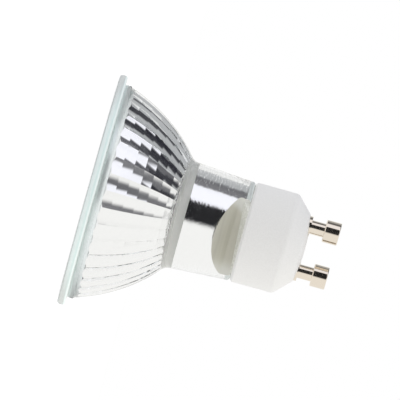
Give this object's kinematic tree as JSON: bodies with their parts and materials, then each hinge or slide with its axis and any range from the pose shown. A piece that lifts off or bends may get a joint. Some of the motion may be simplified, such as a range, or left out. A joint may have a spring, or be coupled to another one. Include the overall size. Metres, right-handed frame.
{
  "type": "halogen reflector bulb",
  "caption": "Mains halogen reflector lamp with a flat front glass, a faceted mirrored bowl, a flatted neck, a bevelled ceramic cap and stepped twist-lock contact pins.",
  "frame": {"origin": "centre of the front glass's outer face, on which the lamp stands", "axes": "+Z along the lamp's axis, from the front glass to the contact pins; X through both pins; the neck's flats face -Y and +Y"},
  "size_m": [0.0507, 0.0506, 0.0541],
  "materials": {
    "clear_glass": "polished, faint mint tint at the edge",
    "reflector_glass": "pressed glass, aluminium mirror on the inside",
    "quartz": "polished quartz",
    "fuse_glass": "polished glass bead",
    "adhesive": "clear silicone",
    "white_ceramic": "matte unglazed",
    "cement": "rough cement",
    "nickel": "bright nickel plate on brass",
    "tungsten": "drawn wire",
    "molybdenum": "bright foil",
    "lead_wire": "drawn wire",
    "solder": "bright solder"
  },
  "bodies": {
    "root": {"front_glass": "clear_glass", "lens_adhesive": "adhesive", "reflector": "reflector_glass", "ceramic_base": "white_ceramic", "base_cement": "cement", "capsule_cement": "cement", "capsule_envelope": "quartz", "filament": "tungsten", "filament_support": "tungsten", "inner_lead_left": "tungsten", "inner_lead_right": "tungsten", "foil_left": "molybdenum", "foil_right": "molybdenum", "outer_lead_left": "lead_wire", "outer_lead_right": "lead_wire", "fuse": "fuse_glass", "contact_pin_left": "nickel", "contact_pin_right": "nickel", "solder_plug_left": "solder", "solder_plug_right": "solder"}
  },
  "joints": []
}
